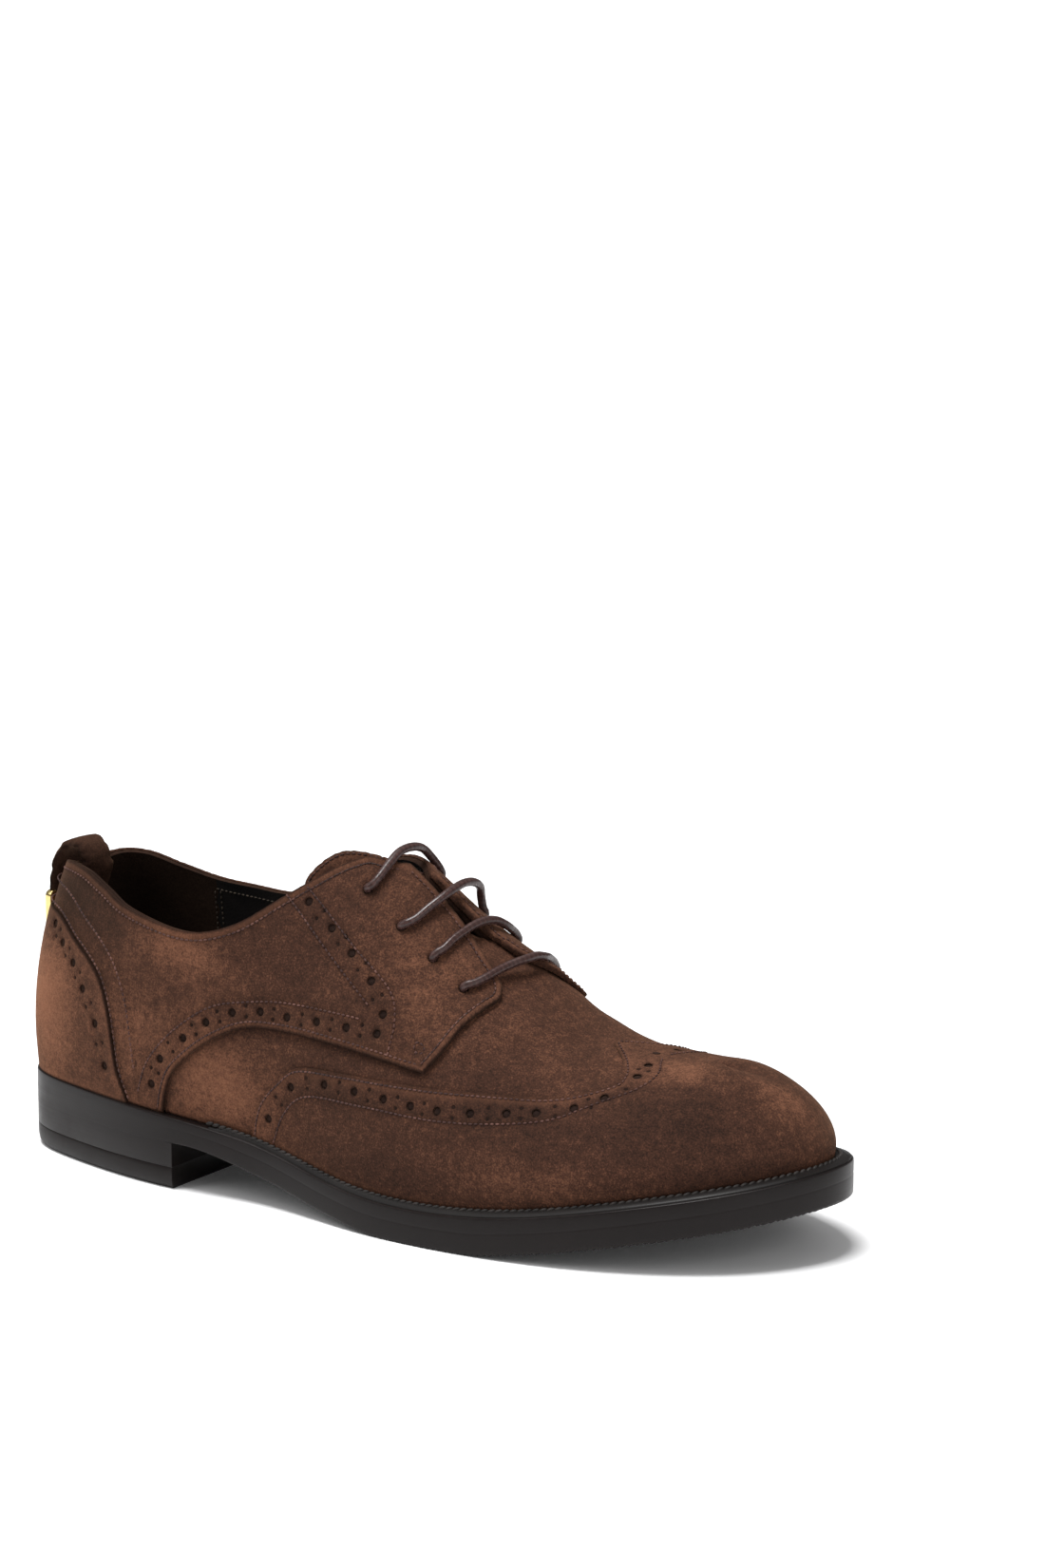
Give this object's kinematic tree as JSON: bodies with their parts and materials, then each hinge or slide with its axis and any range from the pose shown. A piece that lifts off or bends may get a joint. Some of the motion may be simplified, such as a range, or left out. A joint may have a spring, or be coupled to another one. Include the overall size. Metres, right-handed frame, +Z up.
{
  "type": "suede lace-up shoe",
  "caption": "Low lace-up suede dress shoe with a punched wing-tip toe cap, open lacing panels over a tongue, a heel pull loop and a rubber sole with a stacked heel.",
  "frame": {"origin": "on the floor under the middle of the shoe's box", "axes": "+X from heel to toe, +Y to the medial side of this right shoe, +Z up"},
  "size_m": [0.3004, 0.1064, 0.1171],
  "materials": {
    "sole_rubber": "semi-gloss near-black brown, moulded",
    "top_lift_rubber": "duller near-black brown",
    "welt_cord": "dark waxed stitching cord",
    "footbed_leather": "smooth dark leather",
    "vamp_suede": "brown suede with a short nap",
    "tongue_suede": "darker brown suede",
    "gold_metal": "polished gold",
    "lace_cord": "round waxed braid"
  },
  "bodies": {
    "root": {"outsole": "sole_rubber", "heel_block": "sole_rubber", "heel_top_lift": "top_lift_rubber", "welt": "welt_cord", "insole": "footbed_leather", "upper": "vamp_suede", "wing_cap": "vamp_suede", "quarter_lateral": "vamp_suede", "quarter_medial": "vamp_suede", "heel_counter": "vamp_suede", "back_strip": "vamp_suede", "tongue": "tongue_suede", "pull_loop": "tongue_suede", "loop_bar": "gold_metal", "lace_bar_1": "lace_cord", "lace_bar_2": "lace_cord", "lace_bar_3": "lace_cord", "lace_bar_4": "lace_cord"}
  },
  "joints": []
}
